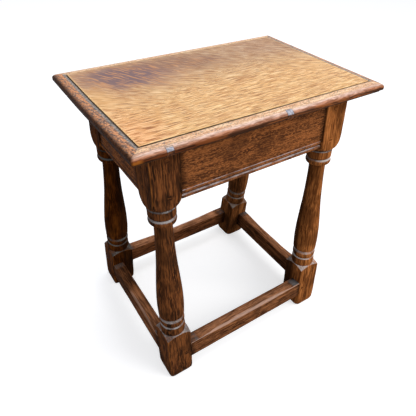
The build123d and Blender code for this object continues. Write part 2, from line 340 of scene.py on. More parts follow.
def leg_marks(outline, s, a, square, turned, apart, inward_shade_share):
    """Wear with painted highlights, dirt with painted shade, and dust with a painted sheen on a leg, each
    0..1.
    """
    stations = s[:, 0]
    profile = np.interp(stations, outline[:, 0], outline[:, 1])
    relief = swell(stations, np.clip(profile, 0, HALF_LEG), 5 * MM)[:, None] + 0 * s
    low, high = outline[0, 0], outline[-1, 0]
    in_block = (s < low) | (s > high)
    shoulder = (s < low + 10 * MM) | (s > high - 27 * MM)
    ledge_dust_sheen = np.clip(-0.92 * np.gradient(profile, stations), 0, 1)[:, None] * np.where(shoulder, 0.62, 1)
    ledge_dust_sheen *= smooth_step(square - turned, -0.5 * MM, 0.8 * MM) * (turned < 34.5 * MM)
    arris = np.clip(1 - apart / (6 * MM), 0, 1) * (square < turned + 1 * MM)
    crease = np.clip(1 - np.abs(square - turned) / (1.6 * MM), 0, 1) * shoulder * ~in_block
    # dirt along the joints, where the rails and stretchers meet the leg
    at_rail = s > up_leg(RAIL_BOTTOM)
    at_stretcher = (s > STRETCHER_BOTTOM) & (s < STRETCHER_BOTTOM + STRETCHER_DEPTH)
    joint = np.clip(1.25 - apart / (5 * MM), 0, 1) * (np.cos(a) * np.sin(a) < 0)
    joint *= in_block & (at_rail | at_stretcher)
    wear_and_highlight = np.clip(np.max([arris, crease, 0.8 * relief], axis=0), 0, 1) * (1 - joint)
    # more of it as painted shade on the inward sides and under the edge of the upper shoulder; the
    # darkening in the grooves is painted shade too
    inward_shade = inward_shade_share * smooth_step(np.cos(a - math.pi / 4), 0.4, 0.9)
    seat = high - UPPER_SHOULDER * MM
    under = 0.8 * smooth_step(s, seat + 5.5 * MM, seat + 3.0 * MM) * (s > seat - 0.8 * MM)
    grime_and_shade = np.clip(np.max([-1.1 * relief, 0.75 * joint, inward_shade, under], axis=0), 0, 1)
    return {"wear_and_highlight": wear_and_highlight, "grime_and_shade": grime_and_shade, "ledge_dust_sheen": ledge_dust_sheen}


def make_leg(name, seed, material, inward_shade_share):
    """A leg with worn arrises, dented rings and an uneven foot, leaning as its CAD node does."""
    outline = leg_outline()
    s, a = np.meshgrid(leg_stations(outline), around_leg(), indexing="ij")
    r, *faces = leg_radius(outline, s, a, seed)
    x, y = r * np.cos(a), r * np.sin(a)
    # both ends are cut level, at the floor and under the top
    end = UNDERSIDE / UPRIGHT
    near_end = smooth_step(s, 20 * MM, 0) + smooth_step(s, end - 12 * MM, end)
    points = mirrored(leaning(x, y, s + y * math.tan(SPLAY) * near_end), name)
    attributes = {"grain": np.stack([s, x, y], axis=-1), **leg_marks(outline, s, a, *faces, inward_shade_share)}
    return make_piece(name, [skin(points)], attributes, material, name)


# ---- rails and stretchers

def front_place(setback, bottom):
    """Where a point of the front rail or stretcher goes, from its place along, depth and height."""

    def place(u, depth, height):
        x = (2 * u - 1) * SHOULDER_X
        y = depth + setback - HALF_LEG
        s = np.minimum(up_leg(bottom) + height, up_leg(UNDERSIDE, y))
        return leaning(x + LEG_X, y, s)

    return place


def leg_inner_y(level, depth):
    """Y of the plane this far inside the front legs' inner face, at a level."""
    return level * math.tan(SPLAY) + (HALF_LEG - depth) / UPRIGHT - FOOT_Y


def side_place(setback, bottom):
    """Where a point of the left rail or stretcher goes; its shoulders follow the legs."""

    def place(u, depth, height):
        z = np.minimum(bottom + height, UNDERSIDE)
        x = depth + setback - HALF_LEG - LEG_X + 0 * z
        return np.stack([x, (1 - 2 * u) * leg_inner_y(z, 0), z], axis=-1)

    return place


# The corners of each end of a tenon, as (cheek, height) in 0..1
TENON_CORNERS = ((0, 0), (1, 0), (1, 1), (0, 1))


def front_tenon(bottom, height):
    """Left tenon of the front rail or stretcher, as the corners of its two ends."""
    ends = (HALF_LEG + 1 * MM, HALF_LEG - TENON_LENGTH)
    front = TENON_CHEEK - HALF_LEG
    low = up_leg(bottom)
    corners = [(x, front + j * TENON_THICK, low + k * height) for x in ends for j, k in TENON_CORNERS]
    return leaning(*np.array(corners).T).reshape(2, 4, 3)


def side_tenon(bottom, height):
    """Front tenon of the left rail or stretcher, as the corners of its two ends."""
    left = TENON_CHEEK - HALF_LEG - LEG_X
    corners = []
    for depth in (-1 * MM, TENON_LENGTH):
        for j, k in TENON_CORNERS:
            level = bottom + k * height
            corners.append((left + j * TENON_THICK, leg_inner_y(level, depth), level))
    return np.array(corners).reshape(2, 4, 3)


def joinery(name, setback, bottom, foot, tall):
    """Whether a bar runs lengthwise, where its points go, and its first tenon."""
    if "front" in name or "back" in name:
        return True, front_place(setback, bottom), front_tenon(foot, tall)
    return False, side_place(setback, bottom), side_tenon(foot, tall)


def rail_section(top):
    """Outline of a rail as (depth behind its face, height) in metres, with two beads at the foot."""
    high, thick, hollow_end = top / MM, RAIL_THICK / MM, 19.3
    outline = arc((1.1, 0), (0.05, 3.6), (1.1, 6.2), 9) + [(1.1, 6.2), (2.1, 6.5), (2.3, 7.0)]
    outline += arc((2.1, 7.4), (0.02, 11.4), (1.1, 14.8), 11)
    outline += arc((1.1, 14.8), (0.9, 17.0), (0.0, hollow_end), 6)
    outline += [(0, h) for h in np.linspace(hollow_end, high, 14)]
    outline += [(thick - 0.8, high), (thick, high - 0.8)]
    outline += [(thick, h) for h in np.linspace(high - 8, 8, 8)]
    outline += [(thick, 0.9), (thick - 0.3, 0.3), (thick - 0.9, 0), (8, 0), (2.0, 0.05)]
    return np.array(outline) * MM


# Height of the crest of each bead of a rail, and how wide its rubbed, painted highlight is
BEAD_CRESTS = ((3.4 * MM, 1.6 * MM), (11.2 * MM, 1.8 * MM))
BEADS_HEIGHT = 19 * MM
# Share of the front rail's length from which its beads are broken off
NOTCH = 0.9942
# Points in each rounded arris of a stretcher, and along the face that follows it
TURN_STEPS, FACE_STEPS = 9, 3
SIDE_STEPS = TURN_STEPS + FACE_STEPS


def stretcher_ring(worn):
    """Outline of a stretcher with this much worn off its outer top arris, at each station."""
    depth, height = STRETCHER_THICK, STRETCHER_DEPTH
    turn = np.radians(np.linspace(0, 90, TURN_STEPS))
    small = 1.1 * MM + 0 * worn
    # place of each corner, its radius, the direction it starts in, and the way in from it
    corners = (
        (0, 0, small, 270, 1, 1),
        (0, height, worn, 180, 1, -1),
        (depth, height, small * 1.3, 90, -1, -1),
        (depth, 0, small, 0, -1, 1),
    )
    arcs = []
    for x, y, radius, start, sx, sy in corners:
        angle = np.radians(start) - turn
        centre = np.stack([x + sx * radius, y + sy * radius], axis=-1)
        heading = np.stack([np.cos(angle), np.sin(angle)], axis=-1)
        arcs.append(centre[:, None] + radius[:, None, None] * heading)
    ring = []
    for here, after in zip(arcs, arcs[1:] + arcs[:1]):
        between = np.linspace(0, 1, FACE_STEPS + 2)[1:-1, None]
        ring += [here, here[:, -1:] * (1 - between) + after[:, :1] * between]
    return np.concatenate(ring, axis=1)


def make_bar(name, seed, material, fitting, u, rings, marks, inner):
    """A rail or stretcher from its outline and marks at each station, with a tenon at each end."""
    lengthwise, place, tenon = fitting
    depth, height = rings[..., 0], rings[..., 1]
    u = u[:, None] + 0 * depth
    uneven = 0.18 * MM * (1 + rough(place(u, depth, height), 0.035, seed))
    points = place(u, depth + np.where(depth < 5 * MM, uneven, 0), height)
    other_end = tenon * (np.array([-1, 1, 1]) if lengthwise else np.array([1, -1, 1]))
    parts = [skin(mirrored(part, name)) for part in (points, tenon, other_end)]
    along = u * 2 * (SHOULDER_X if lengthwise else -leg_inner_y(RAIL_BOTTOM, 0))
    from_end = np.minimum(along, along.max() - along)
    attributes = {
        **marks,
        "grain": np.stack([along, height, depth], axis=-1),
        # darker within 12 mm of each end, and painted shade on the inner faces
        "grime_and_shade": np.maximum(smooth_step(from_end, 12 * MM, 0.0) * 0.8, marks["grime_and_shade"]),
        "inner": inner * smooth_step(depth, 16 * MM, 19 * MM),
    }
    return make_piece(name, parts, attributes, material, name)


def make_rail(name, seed, material):
    """A rail with painted highlights on its rubbed bead crests, painted shade in its grooves, and in front
    cut short of the right leg.
    """
    tenon = (RAIL_BOTTOM + RAIL_TENON_FOOT, RAIL_DEPTH - RAIL_TENON_FOOT - RAIL_HAUNCH)
    fitting = joinery(name, RAIL_SETBACK, RAIL_BOTTOM, *tenon)
    # leaning rails are made too deep, and their place cuts them level under the top
    section = rail_section(RAIL_DEPTH + (3 * MM if fitting[0] else 0))
    u = np.linspace(0, 1, 74 if fitting[0] else 54)
    u = np.sort(np.concatenate([u, NOTCH + np.array([-0.0002, 0.0003, 0.0013])]))
    rings = np.repeat(section[None], len(u), axis=0)
    depth, height = rings[..., 0], rings[..., 1]
    crest_highlights = [np.exp(-(((height - level) / width) ** 2)) for level, width in BEAD_CRESTS]
    # the crests are rubbed and carry a painted highlight line
    wear_and_highlight = np.where(depth < 1.0 * MM, np.maximum(*crest_highlights), 0) * 0.9
    slope = np.gradient(section, axis=0)
    rise = slope[:, 0] / np.maximum(np.hypot(*slope.T), 1e-6)
    ledge_dust_sheen = smooth_step(rise, 0.15, 0.6) * (depth < 3 * MM)
    # painted shade in the groove between the beads
    grime_and_shade = smooth_step(depth, 0.9 * MM, 1.8 * MM) * (height < 8 * MM) * (depth < 3 * MM) * 0.9
    # the broken-off ends of the front beads are painted dark as a shadow
    if name == "rail_front":
        cut = (u > NOTCH)[:, None] * (height < BEADS_HEIGHT) * (depth < 5 * MM)
        rings[..., 0] += 3 * MM * cut
        ledge_dust_sheen, wear_and_highlight, grime_and_shade = ledge_dust_sheen * ~cut, wear_and_highlight * ~cut, np.maximum(grime_and_shade, cut)
    marks = {"wear_and_highlight": wear_and_highlight, "ledge_dust_sheen": ledge_dust_sheen, "grime_and_shade": grime_and_shade}
    return make_bar(name, seed, material, fitting, u, rings, marks, 1.0)


def make_stretcher(name, seed, material):
    """A stretcher whose outer top arris feet have worn down, most of all away from the legs."""
    tenon = (STRETCHER_BOTTOM + STRETCHER_TENON_FOOT, STRETCHER_DEPTH - 2 * STRETCHER_TENON_FOOT)
    fitting = joinery(name, STRETCHER_SETBACK, STRETCHER_BOTTOM, *tenon)
    u = np.linspace(0, 1, 90 if fitting[0] else 80)
    from_leg = np.minimum(u, 1 - u)
    middle = smooth_step(from_leg, 0.02, 0.34)
    near_leg = smooth_step(from_leg, 0.1, 0.02)[:, None]
    line = np.stack([u * 8, 0 * u, 0 * u], axis=-1)
    rings = stretcher_ring((1.5 + 7.0 * middle + 0.9 * rough(line, 1.0, seed) * (0.2 + middle)) * MM)
    arris, crest_highlight, top = np.zeros((3, rings.shape[1]))
    for side in range(4):
        arris[side * SIDE_STEPS :][:TURN_STEPS] = 0.3
    arris[SIDE_STEPS:][:TURN_STEPS] = np.sin(np.linspace(0, math.pi, TURN_STEPS))
    # a painted highlight line along the top of the worn arris
    crest_highlight[SIDE_STEPS + 3 : SIDE_STEPS + 7] = 0.75
    top[SIDE_STEPS + 7 : 2 * SIDE_STEPS + 3] = 1.0
    # the top face away from the legs is lighter: rubbing and painted light from above
    wear_and_highlight = arris + crest_highlight * (1.1 - 0.1 * middle)[:, None] + 0.9 * top * (1 - near_leg)
    # the left one is darker and less rubbed towards the back
    towards_back = (name == "stretcher_left") * smooth_step(u, 0.48, 0.75)[:, None]
    marks = {"wear_and_highlight": wear_and_highlight * (1 - 0.55 * towards_back), "ledge_dust_sheen": top * near_leg, "grime_and_shade": 0.6 * towards_back}
    return make_bar(name, seed, material, fitting, u, rings, marks, 0.6)


# ---- top

MOULDING = 20.0 * MM
END_SKEW = 3.2 * MM
# Middle, half width and depth in from the edge of the two blocks let into the front edge
PATCHES = ((-175.0 * MM, 4.9 * MM, 6.0 * MM), (22.8 * MM, 5.5 * MM, 8.0 * MM))


def moulding_profile():
    """Edge of the top as (distance out from the quirk, depth below the top), in metres."""
    nose, under, face, foot = MOULDING / MM, -TOP_THICK / MM, -8.4, -12.0
    # worn lip of the field, quirk, and the fillet next to it
    points = [(-3.0, 0), (-1.2, 0), (-0.5, -0.05), (-0.1, -0.3), (0.05, -0.9), (0.15, -1.9)]
    points += [(0.5, -2.2), (1.0, -2.2), (1.35, -1.8), (1.5, -1.15), (1.9, -0.98), (3.2, -1.0)]
    points += [(4.6, -1.05), (6.2, -1.15), (7.4, -1.45)]
    # thumb, upright face, and a narrow rebate under it
    points += ellipse((8.0, face), nose - 8.0, -1.7 - face, 90, -90, 18)
    points += [(nose, face), (nose, -10.2), (nose, foot)]
    points += [(nose - 4.0 + 4.0 * math.cos(t), foot) for t in np.radians(90 / 7 * np.arange(1, 7))]
    points += [(nose - 4.0, under), (nose - 8.0, under), (0, under)]
    return np.array(points) * MM


def around_top():
    """Stations round the top: side they lie on, place along it in -1..1, and turn at the corners."""
    stations = []
    for side in range(4):
        count = 152 if side % 2 == 0 else 102
        corner = [(side, 1.0, t) for t in np.linspace(0, 1, 8)]
        edge = [(side, p, 0.0) for p in np.linspace(-1, 1, count)[1:-1]]
        stations += edge + corner
    return np.array(stations)


def top_ring(out, rounding):
    """A rounded rectangle this far out from the quirk, as points in the plane, in station order."""
    half = np.array(TOP_HALF) - MOULDING + out
    stations = around_top()
    side = stations[:, 0].astype(int)
    length = np.where(side % 2 == 0, half[0], half[1]) - rounding
    offset = np.where(side % 2 == 0, half[1], half[0]) - rounding
    turn = stations[:, 2] * math.pi / 2
    along = stations[:, 1] * length + rounding * np.sin(turn)
    outward = offset + rounding * np.cos(turn)
    heading = side * math.pi / 2
    x = along * np.cos(heading) + outward * np.sin(heading)
    y = along * np.sin(heading) - outward * np.cos(heading)
    return np.stack([x, y], axis=-1)


def wear_down(points, out, low):
    """Knocks and rubbing along the thumb, a field no longer flat, and a left end out of square."""
    outward = points[..., :2] / np.linalg.norm(points[..., :2], axis=-1, keepdims=True)
    thumb = smooth_step(out, 6 * MM, 15 * MM) * (low > 0.5 * MM)
    worn = 0.12 * MM * (1 + rough(points, 0.03, 3)) * thumb
    worn += 0.5 * MM * smooth_step(rough(points, 0.011, 8, 1), 0.5, 0.95) * thumb
    for x, half, _ in PATCHES:
        aside = smooth_step(np.abs(points[..., 0] - x), half + 2 * MM, half + 8 * MM)
        worn *= np.minimum(aside + (points[..., 1] > 0), 1)
    points[..., :2] -= outward * worn[..., None]
    points[..., 2] -= 0.1 * MM * np.clip(1 + rough(points, 0.07, 11), 0, None) * (low < 0.2 * MM)
    # sawn shorter towards the front
    skew = np.clip((20 * MM - points[..., 1]) / (170 * MM), 0, 1)
    points[..., 0] += END_SKEW * skew * smooth_step(points[..., 0], -140 * MM, -200 * MM)


def make_top(material):
    """The top board: a field inside a quirk, and a worn thumb moulding round all four edges."""
    profile = moulding_profile()
    field = np.array([-128, -110, -80, -50, -30, -18, -10, -6]) * MM
    below = np.array([-20, -60, -128]) * MM
    outs = np.concatenate([field, profile[:, 0], below])
    drops = np.concatenate([0 * field, profile[:, 1], 0 * below - TOP_THICK])
    rings = []
    for out, drop in zip(outs, drops):
        rounding = 0.4 * MM + 2.6 * MM * float(smooth_step(out, 5 * MM, MOULDING))
        flat = top_ring(out, rounding)
        rings.append(np.column_stack([flat, np.full(len(flat), HEIGHT + drop)]))
    points = np.array(rings)
    out = outs[:, None] + 0 * points[..., 0]
    low = HEIGHT - points[..., 2]
    wear_down(points, out, low)
    side, along, turn = around_top().T
    end = np.where(turn > 0, np.where(side % 2 == 0, turn, 1 - turn), side % 2)
    quirk_shade = smooth_step(low, 0.25 * MM, 0.7 * MM) * smooth_step(out, 2.6 * MM, 1.6 * MM) * (low < 5 * MM)
    # painted shade in the quirk: darkest in front, where it fades to the right, and at the left end
    quirk_shade *= np.select([side == 0, side == 3], [0.72 - 0.22 * along, 0.8], 0.25)
    attributes = {
        "out": out,
        "end_grain": end * smooth_step(out, 0, 1.5 * MM),
        "wear_and_highlight": np.exp(-(((out + 0.6 * MM) / (0.9 * MM)) ** 2)) * (low < 0.6 * MM),
        "grime_and_shade": quirk_shade,
    }
    return make_piece("top", [skin(points)], attributes, material, "top_board", sharp=50)


# ---- materials

class Shade:
    """Node tree of a material or of the world, with short calls for the nodes that wood needs."""

    def __init__(self, name, kind="Material"):
        self.kind = kind
        self.owner = (bpy.data.worlds if kind == "World" else bpy.data.materials).new(name)
        self.owner.use_nodes = True
        self.tree = self.owner.node_tree
        self.tree.nodes.clear()

    def add(self, kind, inputs, out=0, **settings):
        """Adds a node, sets or links its inputs, and gives its output."""
        node = self.tree.nodes.new("ShaderNode" + kind)
        for key, value in settings.items():
            setattr(node, key, value)
        for key, value in inputs.items():
            if isinstance(value, bpy.types.NodeSocket):
                self.tree.links.new(value, node.inputs[key])
            else:
                node.inputs[key].default_value = value
        return node.outputs[out]

    def place(self):
        """Where a point lies in the stool."""
        return self.add("TexCoord", {}, out="Object")

    def attribute(self, name, vector=False):
        return self.add("Attribute", {}, out="Vector" if vector else "Fac", attribute_name=name)

    def parts(self, vector):
        """X, Y and Z of a vector."""
        node = self.tree.nodes.new("ShaderNodeSeparateXYZ")
        self.tree.links.new(vector, node.inputs[0])
        return list(node.outputs)

    def math(self, operation, a, b=0.0, c=0.0):
        return self.add("Math", {0: a, 1: b, 2: c}, operation=operation)

    def times(self, a, b, plus=0.0):
        """The product of a and b, plus a third value."""
        return self.math("MULTIPLY_ADD", a, b, plus)

    def apart(self, a, b):
        return self.math("ABSOLUTE", self.math("SUBTRACT", a, b))

    def clip(self, value, low, high, to_low=0.0, to_high=1.0):
        """Maps low..high smoothly to two values; low may be the greater of the two."""
        inputs = {"Value": value, "From Min": low, "From Max": high, "To Min": to_low, "To Max": to_high}
        return self.add("MapRange", inputs, interpolation_type="SMOOTHSTEP")

    def stretch(self, vector, scale=(1, 1, 1), shift=(0, 0, 0), turn=(0, 0, 0)):
        inputs = {"Vector": vector, "Scale": scale, "Location": shift, "Rotation": turn}
        return self.add("Mapping", inputs, vector_type="POINT")

    def turned(self, vector, angle, scale=(1, 1, 1)):
        """The vector turned about Z, then stretched along its new axes."""
        return self.stretch(self.stretch(vector, turn=(0, 0, angle)), scale)

    def noise(self, vector, scale, detail=2.0, rough=0.5, out=0):
        inputs = {"Vector": vector, "Scale": scale, "Detail": detail, "Roughness": rough}
        return self.add("TexNoise", inputs, out)

    def streaks(self, vector, cells, detail=2.0, rough=0.5):
        """Noise with this many cells to the metre along each axis."""
        return self.noise(self.stretch(vector, cells), 1.0, detail, rough)

    def warp(self, vector, scale, amount):
        """The vector, wandering by up to this amount."""
        wander = self.noise(vector, scale, 1.0, out="Color")
        centred = self.add("VectorMath", {0: wander, 1: (0.5, 0.5, 0.5)}, operation="SUBTRACT")
        moved = self.add("VectorMath", {0: centred, "Scale": amount}, operation="SCALE")
        return self.add("VectorMath", {0: vector, 1: moved}, operation="ADD")

    def mix(self, fac, a, b, blend="MIX"):
        """Mixes two colours; each is a socket or an (r, g, b)."""
        a, b = (tone if isinstance(tone, bpy.types.NodeSocket) else (*tone, 1) for tone in (a, b))
        return self.add("Mix", {0: fac, 6: a, 7: b}, out=2, data_type="RGBA", blend_type=blend)

    def between(self, value, low, high, a, b):
        """Colour a where the value is low, b where it is high."""
        return self.mix(self.clip(value, low, high), a, b)

    def layers(self, colour, *rows):
        """Lays tones over a colour in turn, each rising to a share as a value goes from low to high."""
        for value, low, high, share, tone in rows:
            colour = self.mix(self.clip(value, low, high, 0.0, share), colour, tone)
        return colour

    def seen(self):
        """1 for what the camera, gloss and glass see, and 0 for the light that falls on things."""
        rays = self.tree.nodes.new("ShaderNodeLightPath").outputs
        through = self.math("MAXIMUM", rays["Is Glossy Ray"], rays["Is Transmission Ray"])
        return self.math("MAXIMUM", rays["Is Camera Ray"], through)

    def surface(self, shader):
        """Ends the tree in its shader, and gives the material or world."""
        output = self.tree.nodes.new("ShaderNodeOutput" + self.kind)
        self.tree.links.new(shader, output.inputs["Surface"])
        return self.owner

    def wood(self, colour, roughness, height, strength, distance, specular):
        """A finished material, with bump from a height in 0..1."""
        normal = self.add("Bump", {"Strength": strength, "Distance": distance, "Height": height})
        inputs = {"Base Color": colour, "Roughness": roughness, "Specular IOR Level": specular}
        return self.surface(self.add("BsdfPrincipled", {**inputs, "Normal": normal}))


# Tones of rubbed arrises, of the painted highlights on crests, of old dirt and painted shade, and of the
# inner faces' painted shade
RUBBED = (0.42, 0.19, 0.095)
PAINTED_HIGHLIGHT = (0.78, 0.53, 0.42)
DIRT_AND_SHADE = (0.01, 0.005, 0.003)
INNER = (0.5, 0.42, 0.36)


def frame_oak(name, seed, tones, fleck=0.5, spot=0.45, clouds=0.6, tick_cells=(45, 620, 620),
              dust_sheen=(0.36, 0.35, 0.33), rub=0.55, rubbed=RUBBED, highlight_share=0.9):
    """Dark waxed oak of the frame, from its dark, brown and orange tones.

    Fleck and spot are its light and dark ticks; rub and the highlight share say how worn its arrises are
    and how strong the painted highlight on its crests is.
    """
    dark, brown, orange = tones
    t = Shade(name)
    # the pegs keep their CAD meshes, which have no attributes
    grain = t.place() if "pegs" in name else t.attribute("grain", True)
    grain = t.stretch(grain, shift=(seed * 1.37, seed * 0.61, seed * 0.23))
    bent = t.warp(t.warp(grain, 12.0, 0.007), 60.0, 0.0014)
    streaks = t.streaks(bent, (10, 250, 250), 3.0, 0.6)
    threads = t.streaks(bent, (18, 520, 520), 2.0, 0.6)
    ticks = t.streaks(bent, tick_cells, 1.5, 0.6)
    broad = t.streaks(bent, (11, 70, 70), 2.0, 0.55)
    pore = t.clip(t.streaks(bent, (130, 1500, 1500), 1.0), 0.6, 0.72)
    blotch = t.noise(grain, 24.0)
    mottle = t.noise(grain, 420.0, 2.0, 0.6)
    uneven = t.noise(grain, 38.0, 2.0, 0.6)
    colour = t.layers(
        t.between(streaks, 0.38, 0.6, dark, brown),
        (broad, 0.48, 0.66, 0.7, orange),
        (broad, 0.46, 0.34, clouds, dark),
        (threads, 0.54, 0.63, 0.5, orange),
        (threads, 0.46, 0.37, spot, dark),
        (ticks, 0.53, 0.61, fleck, orange),
        (ticks, 0.46, 0.38, 1.3 * spot, dark),
        (blotch, 0.5, 0.36, 0.5, dark),
    )
    colour = t.mix(t.times(pore, 0.5), colour, dark)
    # old dirt and painted shade in the hollows, rubbed crests with painted highlights, and dust with a
    # painted sheen where it can lie
    colour = t.mix(t.times(t.attribute("grime_and_shade"), 0.9), colour, DIRT_AND_SHADE)
    wear_and_highlight = t.attribute("wear_and_highlight")
    patchy = t.clip(t.times(wear_and_highlight, 0.75, t.times(blotch, 0.6)), 0.72, 1.05)
    worn = t.between(ticks, 0.42, 0.58, [0.62 * c for c in rubbed], [1.3 * c for c in rubbed])
    colour = t.mix(t.times(patchy, rub), colour, worn)
    crest_highlight = t.times(threads, 0.8, t.times(mottle, 0.3, wear_and_highlight))
    colour = t.layers(colour, (crest_highlight, 1.78, 2.14, highlight_share, PAINTED_HIGHLIGHT))
    lying_dust_sheen = t.clip(t.times(mottle, 0.7, t.math("SUBTRACT", t.attribute("ledge_dust_sheen"), 0.35)), 0.25, 0.85)
    colour = t.mix(t.times(lying_dust_sheen, t.clip(uneven, 0.38, 0.6, 0.25, 1.0)), colour, dust_sheen)
    # painted shade on the inner faces
    colour = t.mix(t.attribute("inner"), colour, INNER, "MULTIPLY")
    height = t.times(pore, -0.8, t.times(ticks, 0.5, streaks))
    return t.wood(colour, t.clip(blotch, 0.3, 0.7, 0.42, 0.55), height, 0.6, 0.0005, 0.004)


# Middles of the dark stain and of the streaky one beside it
STAIN = (-0.13, 0.077)
STREAKY = (-0.02, 0.094)
# Values of lean at which the second and third zones of the field's grain begin
ZONES = (0.105, 0.175)


def figured(t, place, blotch, angles):
    """Place turned to the run of the grain in three ragged zones, from the front to the back left."""
    across, deep, _ = t.parts(place)
    lean = t.times(across, -0.28, deep)
    lean = t.times(blotch, 0.13, lean)
    lean = t.times(t.clip(across, 0.09, 0.17), 0.12, lean)
    ragged = t.noise(t.turned(place, 0.6, (60, 300, 100)), 1.0)
    lean = t.times(ragged, 0.06, lean)
    vector = t.turned(place, angles[0])
    for limit, angle in zip(ZONES, angles[1:]):
        inputs = {0: t.math("GREATER_THAN", lean, limit), 4: vector, 5: t.turned(place, angle)}
        vector = t.add("Mix", inputs, out=1, data_type="VECTOR")
    return vector


def field_oak(t, place, blotch):
    """Golden colour of the field, with its ray flecks and pores, and their height."""
    bent = t.warp(t.warp(place, 9.0, 0.014), 34.0, 0.005)
    waves = t.streaks(figured(t, bent, blotch, (0.24, 0.62, 0.8)), (13, 150, 100), 1.5)
    flow = figured(t, bent, blotch, (0.02, 0.54, 0.74))
    lines = t.streaks(flow, (20, 520, 200), 1.0)
    ticks = t.streaks(flow, (48, 900, 300), 1.5, 0.55)
    colour = t.layers(
        t.between(waves, 0.38, 0.62, (0.685, 0.372, 0.155), (0.718, 0.408, 0.175)),
        (blotch, 0.5, 0.32, 0.14, (0.52, 0.26, 0.125)),
        (lines, 0.53, 0.61, 0.3, (0.98, 0.69, 0.32)),
        (lines, 0.47, 0.39, 0.36, (0.4, 0.165, 0.07)),
        (ticks, 0.54, 0.61, 0.7, (1.0, 0.75, 0.43)),
        (ticks, 0.45, 0.38, 0.75, (0.24, 0.1, 0.05)),
    )
    # greyer towards the back and its right corner, ruddy at the front left, golden by the left end
    across, deep, _ = t.parts(place)
    colour = t.mix(t.clip(deep, -0.055, 0.085), colour, (0.715, 0.745, 0.91), "MULTIPLY")
    corner = t.times(t.clip(across, 0.02, 0.16), t.clip(deep, 0.01, 0.1))
    colour = t.mix(corner, colour, (0.9, 0.87, 0.92), "MULTIPLY")
    ruddy = t.times(t.clip(across, -0.13, -0.2), t.clip(deep, -0.11, -0.02, 1.0, 0.3))
    colour = t.mix(ruddy, colour, (1.05, 0.9, 0.86), "MULTIPLY")
    midway = t.clip(t.apart(deep, 0.025), 0.065, 0.02, 0.0, 0.35)
    colour = t.mix(t.times(t.clip(across, -0.165, -0.195), midway), colour, (0.9, 0.54, 0.215))
    return colour, t.times(ticks, 0.5, lines)


def stained(t, place, colour):
    """The colour under a dark stain with its halo and a paler one beside it, crossed by bright rays."""
    moved = t.warp(t.warp(place, 24.0, 0.04), 90.0, 0.01)
    flow = t.turned(t.warp(place, 38.0, 0.007), 1.0)
    rays = t.clip(t.streaks(flow, (38, 330, 60), 1.0), 0.53, 0.6)
    # middle, how tight it is each way, where it begins and ends to fade, how deep it is, and its tone
    marks = (
        (STAIN, (7.5, 13.0, 0), 0.3, 1.1, 0.5, (0.44, 0.225, 0.125)),
        (STAIN, (12.0, 19.0, 0), 0.38, 1.15, 0.95, (0.2, 0.13, 0.134)),
        (STREAKY, (9.5, 23.0, 0), 0.25, 1.3, 0.66, (0.23, 0.12, 0.09)),
    )
    for centre, scale, low, high, depth, tone in marks:
        offset = t.add("VectorMath", {0: moved, 1: (*centre, HEIGHT)}, operation="SUBTRACT")
        spread = t.add("VectorMath", {0: t.turned(offset, 0.25, scale)}, out=1, operation="LENGTH")
        stain = t.clip(spread, low, high, depth, 0.0)
        colour = t.mix(t.times(rays, t.times(stain, 0.6)), colour, (0.62, 0.28, 0.12))
        colour = t.mix(t.times(stain, t.times(rays, -0.75, 1.0)), colour, tone)
    return colour


def front_moulding(t, place, out, low):
    """Long grain of the front and back edges: tan crown, shoulder with a painted pale highlight, ruddy
    band, dark nose.
    """
    grain = t.warp(place, 30.0, 0.004)
    fleck = t.streaks(grain, (70, 480, 480), 2.0, 0.6)
    speck = t.streaks(grain, (320, 760, 760), 1.0)
    patches = t.streaks(grain, (24, 110, 170), 3.0, 0.6)
    threads = t.streaks(grain, (16, 420, 420), 2.0, 0.6)
    across, deep, _ = t.parts(place)
    crown = t.layers(
        t.between(fleck, 0.42, 0.58, (0.6, 0.345, 0.185), (0.8, 0.51, 0.29)),
        (threads, 0.52, 0.62, 0.6, (0.95, 0.72, 0.47)),
        (threads, 0.47, 0.37, 0.6, (0.56, 0.24, 0.12)),
        (speck, 0.41, 0.35, 0.8, (0.2, 0.165, 0.17)),
        (speck, 0.57, 0.63, 0.6, (0.95, 0.7, 0.5)),
    )
    pale = t.between(fleck, 0.42, 0.58, (0.6, 0.4, 0.31), (0.84, 0.63, 0.54))
    pale = t.layers(pale, (threads, 0.47, 0.38, 0.65, (0.44, 0.22, 0.15)))
    ruddy = t.between(fleck, 0.42, 0.58, (0.27, 0.105, 0.055), (0.56, 0.26, 0.15))
    nose = t.between(patches, 0.42, 0.56, (0.075, 0.028, 0.013), (0.36, 0.115, 0.034))
    nose = t.mix(t.clip(across, -0.06, -0.15), nose, (0.62, 0.52, 0.5), "MULTIPLY")
    # the pale band along the shoulder is a painted highlight
    colour = t.layers(crown, (low, 0.0016, 0.003, 0.9, pale))
    # a scratch along the thumb near its left end
    scratch = t.clip(t.apart(out, 0.0118), 0.0002, 0.0007, 0.8, 0.0)
    scratch = t.times(scratch, t.times(t.clip(across, -0.15, -0.165), t.clip(speck, 0.42, 0.48)))
    colour = t.mix(scratch, colour, (0.17, 0.12, 0.12))
    edge = t.times(patches, 0.005, low)
    colour = t.layers(colour, (edge, 0.0052, 0.0076, 1, ruddy), (edge, 0.0072, 0.0104, 1, nose))
    # a golden spot at the left corner
    golden = t.clip(t.times(patches, 0.012, across), -0.2045, -0.212)
    golden = t.times(golden, t.clip(t.times(speck, 0.004, low), 0.0085, 0.0105))
    colour = t.mix(t.times(golden, 0.8), colour, (0.52, 0.165, 0.022))
    # dark seams round the patches
    for middle, half, inward in PATCHES:
        start = MOULDING - inward
        seam = t.clip(t.apart(across, middle), half + 0.7 * MM, half + 0.3 * MM)
        seam = t.times(seam, t.clip(out, start - 0.7 * MM, start - 0.3 * MM))
        colour = t.mix(t.times(seam, t.clip(deep, 0.01, -0.01)), colour, (0.035, 0.022, 0.018))
    return colour


